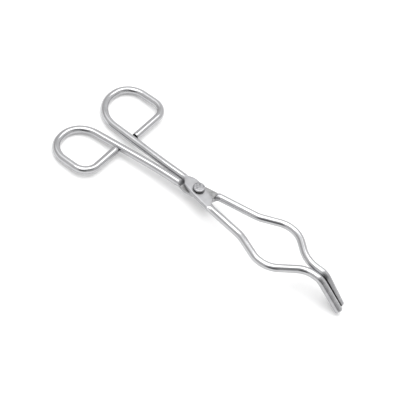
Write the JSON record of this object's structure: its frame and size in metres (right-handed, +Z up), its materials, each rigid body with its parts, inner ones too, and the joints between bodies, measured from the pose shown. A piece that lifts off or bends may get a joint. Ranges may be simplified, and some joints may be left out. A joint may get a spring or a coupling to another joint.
{
  "type": "crucible tongs",
  "caption": "Hand tongs of bent steel rod: finger loops, riveted pressed flats, bowed jaws to cradle a crucible, and toothed tips bent down to grip a lid.",
  "frame": {"origin": "on the bench, straight below the middle of the rivet, with the tongs lying on both finger loops and the lower arm's tip", "axes": "+X along the tongs from the finger loops to the tips, +Y towards the upper arm's finger loop, +Z up"},
  "size_m": [0.2026, 0.083, 0.019],
  "materials": {
    "arm_steel": "bright polished round rod, with satin pressed flats round the rivet",
    "rivet_steel": "satin, hammered head"
  },
  "bodies": {
    "lower": {"lower_arm": "arm_steel", "pivot_rivet": "rivet_steel"},
    "upper": {"upper_arm": "arm_steel"}
  },
  "joints": [
    {"name": "rivet_hinge", "type": "hinge", "parent": "lower", "child": "upper", "pos_m": [0, 0, 0.00948], "axis": [0.0789, 0, -0.9969], "range_deg": [0, 40]}
  ]
}
